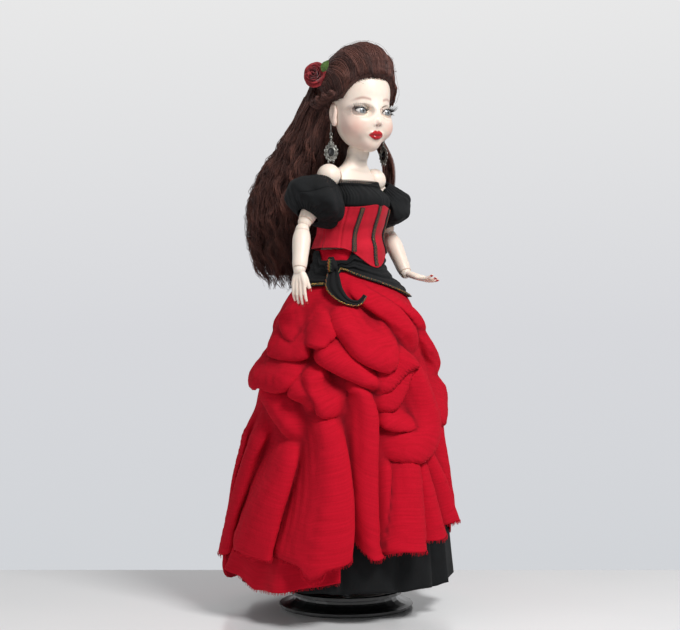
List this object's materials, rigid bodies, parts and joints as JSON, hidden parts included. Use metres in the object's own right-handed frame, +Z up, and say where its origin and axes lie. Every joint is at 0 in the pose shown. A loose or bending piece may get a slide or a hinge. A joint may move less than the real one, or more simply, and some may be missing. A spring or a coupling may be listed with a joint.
{
  "type": "ball-jointed collectible doll",
  "caption": "Ball-jointed collectible doll with a wig, corset, gathered overskirt and petticoat, held up on a round stand under the skirts.",
  "frame": {"origin": "centre of the underside of the stand's base", "axes": "+Z up, -Y the way the doll's body faces, +X the doll's left"},
  "size_m": [0.1988, 0.2174, 0.4997],
  "materials": {
    "resin_skin": "satin",
    "turned_wood": "satin black lacquer",
    "steel": "brushed",
    "elastic_cord": "woven cover",
    "eye_glass": "polished",
    "lash_fibre": "matte",
    "mohair": "soft sheen",
    "rose_cloth": "matte",
    "leaf_cloth": "matte",
    "antique_silver": "antiqued",
    "black_stone": "polished",
    "black_cotton": "matte",
    "red_linen": "matte crinkle gauze",
    "metallic_braid": "metallic thread"
  },
  "bodies": {
    "torso": {"stand_base": "turned_wood", "stand_rod": "steel", "stand_saddle": "steel", "upper_torso": "resin_skin", "lower_torso": "resin_skin", "body_elastic": "elastic_cord", "arm_elastic": "elastic_cord", "bodice": "black_cotton", "front_lace": "black_cotton", "back_lace": "black_cotton", "corset": "red_linen", "corset_trim_center": "metallic_braid", "corset_trim_right": "metallic_braid", "corset_trim_left": "metallic_braid", "hip_sash": "black_cotton", "sash_knot": "black_cotton", "sash_tail": "black_cotton", "petticoat": "black_cotton", "overskirt": "red_linen"},
    "neck": {"neck_hook": "steel"},
    "head": {"head_shell": "resin_skin", "head_cap": "resin_skin", "right_eye": "eye_glass", "left_eye": "eye_glass", "right_lashes": "lash_fibre", "left_lashes": "lash_fibre", "wig_crown": "mohair", "hair_twist": "mohair", "long_hair": "mohair", "rose": "rose_cloth", "rose_leaf": "leaf_cloth"},
    "right_earring": {"right_ear_wire": "antique_silver", "right_earring_drop": "antique_silver", "right_earring_stone": "black_stone"},
    "right_upper_arm": {"right_upper_arm": "resin_skin", "right_sleeve": "black_cotton"},
    "right_elbow": {"right_elbow": "resin_skin"},
    "right_forearm": {"right_forearm": "resin_skin"},
    "right_wrist": {"right_wrist_hook": "steel"},
    "right_hand": {"right_hand": "resin_skin"},
    "right_thigh": {"right_thigh": "resin_skin"},
    "right_knee": {"right_knee": "resin_skin"},
    "right_calf": {"right_calf": "resin_skin"},
    "right_foot": {"right_foot": "resin_skin"},
    "left_earring": {"left_ear_wire": "antique_silver", "left_earring_drop": "antique_silver", "left_earring_stone": "black_stone"},
    "left_upper_arm": {"left_upper_arm": "resin_skin", "left_sleeve": "black_cotton"},
    "left_elbow": {"left_elbow": "resin_skin"},
    "left_forearm": {"left_forearm": "resin_skin"},
    "left_wrist": {"left_wrist_hook": "steel"},
    "left_hand": {"left_hand": "resin_skin"},
    "left_thigh": {"left_thigh": "resin_skin"},
    "left_knee": {"left_knee": "resin_skin"},
    "left_calf": {"left_calf": "resin_skin"},
    "left_foot": {"left_foot": "resin_skin"}
  },
  "joints": [
    {"name": "head_turn", "type": "hinge", "parent": "torso", "child": "neck", "pos_m": [0, -0.0144, 0.403], "axis": [0, 0, 1], "range_deg": [-26, 26], "deforming": ["long_hair"]},
    {"name": "head_nod", "type": "hinge", "parent": "neck", "child": "head", "pos_m": [0, -0.0144, 0.403], "axis": [0.9659, -0.2588, 0], "range_deg": [-10, 12]},
    {"name": "right_earring_swing", "type": "hinge", "parent": "head", "child": "right_earring", "pos_m": [-0.02659, -0.00624, 0.428], "axis": [0.9659, -0.2588, 0], "range_deg": [-25, 25]},
    {"name": "left_earring_swing", "type": "hinge", "parent": "head", "child": "left_earring", "pos_m": [0.02711, -0.02063, 0.428], "axis": [0.9659, -0.2588, 0], "range_deg": [-25, 25]},
    {"name": "right_shoulder_swing", "type": "hinge", "parent": "torso", "child": "right_upper_arm", "pos_m": [-0.0305, -0.007, 0.381], "axis": [-1, 0, 0], "range_deg": [-15, 35]},
    {"name": "right_elbow_upper", "type": "hinge", "parent": "right_upper_arm", "child": "right_elbow", "pos_m": [-0.05815, -0.00424, 0.33954], "axis": [-0.8862, 0.0334, 0.4621], "range_deg": [0, 40]},
    {"name": "right_elbow_lower", "type": "hinge", "parent": "right_elbow", "child": "right_forearm", "pos_m": [-0.06185, -0.00476, 0.33246], "axis": [-0.8862, 0.0334, 0.4621], "range_deg": [0, 40]},
    {"name": "right_wrist_turn", "type": "hinge", "parent": "right_forearm", "child": "right_wrist", "pos_m": [-0.074, -0.013, 0.298], "axis": [0.3243, 0.2201, 0.92], "range_deg": [-60, 60]},
    {"name": "right_wrist_bend", "type": "hinge", "parent": "right_wrist", "child": "right_hand", "pos_m": [-0.074, -0.013, 0.298], "axis": [-0.9008, -0.2252, 0.3713], "range_deg": [-30, 30]},
    {"name": "left_shoulder_swing", "type": "hinge", "parent": "torso", "child": "left_upper_arm", "pos_m": [0.0305, -0.007, 0.381], "axis": [-1, 0, 0], "range_deg": [-10, 35]},
    {"name": "left_elbow_upper", "type": "hinge", "parent": "left_upper_arm", "child": "left_elbow", "pos_m": [0.05303, -0.00365, 0.33879], "axis": [-0.9699, -0.0533, -0.2378], "range_deg": [0, 28]},
    {"name": "left_elbow_lower", "type": "hinge", "parent": "left_elbow", "child": "left_forearm", "pos_m": [0.05498, -0.00535, 0.33121], "axis": [-0.9699, -0.0533, -0.2378], "range_deg": [0, 28]},
    {"name": "left_wrist_turn", "type": "hinge", "parent": "left_forearm", "child": "left_wrist", "pos_m": [0.052, -0.0257, 0.2975], "axis": [0.0753, 0.5153, 0.8537], "range_deg": [-60, 60]},
    {"name": "left_wrist_bend", "type": "hinge", "parent": "left_wrist", "child": "left_hand", "pos_m": [0.052, -0.0257, 0.2975], "axis": [-0.366, 0.8106, -0.4571], "range_deg": [-30, 30]},
    {"name": "right_hip_swing", "type": "hinge", "parent": "torso", "child": "right_thigh", "pos_m": [-0.019, 0.002, 0.258], "axis": [-1, 0, 0], "range_deg": [-8, 8]},
    {"name": "right_knee_upper", "type": "hinge", "parent": "right_thigh", "child": "right_knee", "pos_m": [-0.019, 0.002, 0.147], "axis": [1, 0, 0], "range_deg": [0, 15]},
    {"name": "right_knee_lower", "type": "hinge", "parent": "right_knee", "child": "right_calf", "pos_m": [-0.019, 0.002, 0.137], "axis": [1, 0, 0], "range_deg": [0, 15]},
    {"name": "right_ankle_bend", "type": "hinge", "parent": "right_calf", "child": "right_foot", "pos_m": [-0.019, 0.002, 0.046], "axis": [1, 0, 0], "range_deg": [-10, 10]},
    {"name": "left_hip_swing", "type": "hinge", "parent": "torso", "child": "left_thigh", "pos_m": [0.019, 0.002, 0.258], "axis": [-1, 0, 0], "range_deg": [-8, 8]},
    {"name": "left_knee_upper", "type": "hinge", "parent": "left_thigh", "child": "left_knee", "pos_m": [0.019, 0.002, 0.147], "axis": [1, 0, 0], "range_deg": [0, 15]},
    {"name": "left_knee_lower", "type": "hinge", "parent": "left_knee", "child": "left_calf", "pos_m": [0.019, 0.002, 0.137], "axis": [1, 0, 0], "range_deg": [0, 15]},
    {"name": "left_ankle_bend", "type": "hinge", "parent": "left_calf", "child": "left_foot", "pos_m": [0.019, 0.002, 0.046], "axis": [1, 0, 0], "range_deg": [-10, 10]}
  ],
  "couplings": [
    {"joint": "right_elbow_lower", "follows": "right_elbow_upper", "ratio": 1},
    {"joint": "left_elbow_lower", "follows": "left_elbow_upper", "ratio": 1},
    {"joint": "right_knee_lower", "follows": "right_knee_upper", "ratio": 1},
    {"joint": "left_knee_lower", "follows": "left_knee_upper", "ratio": 1}
  ]
}
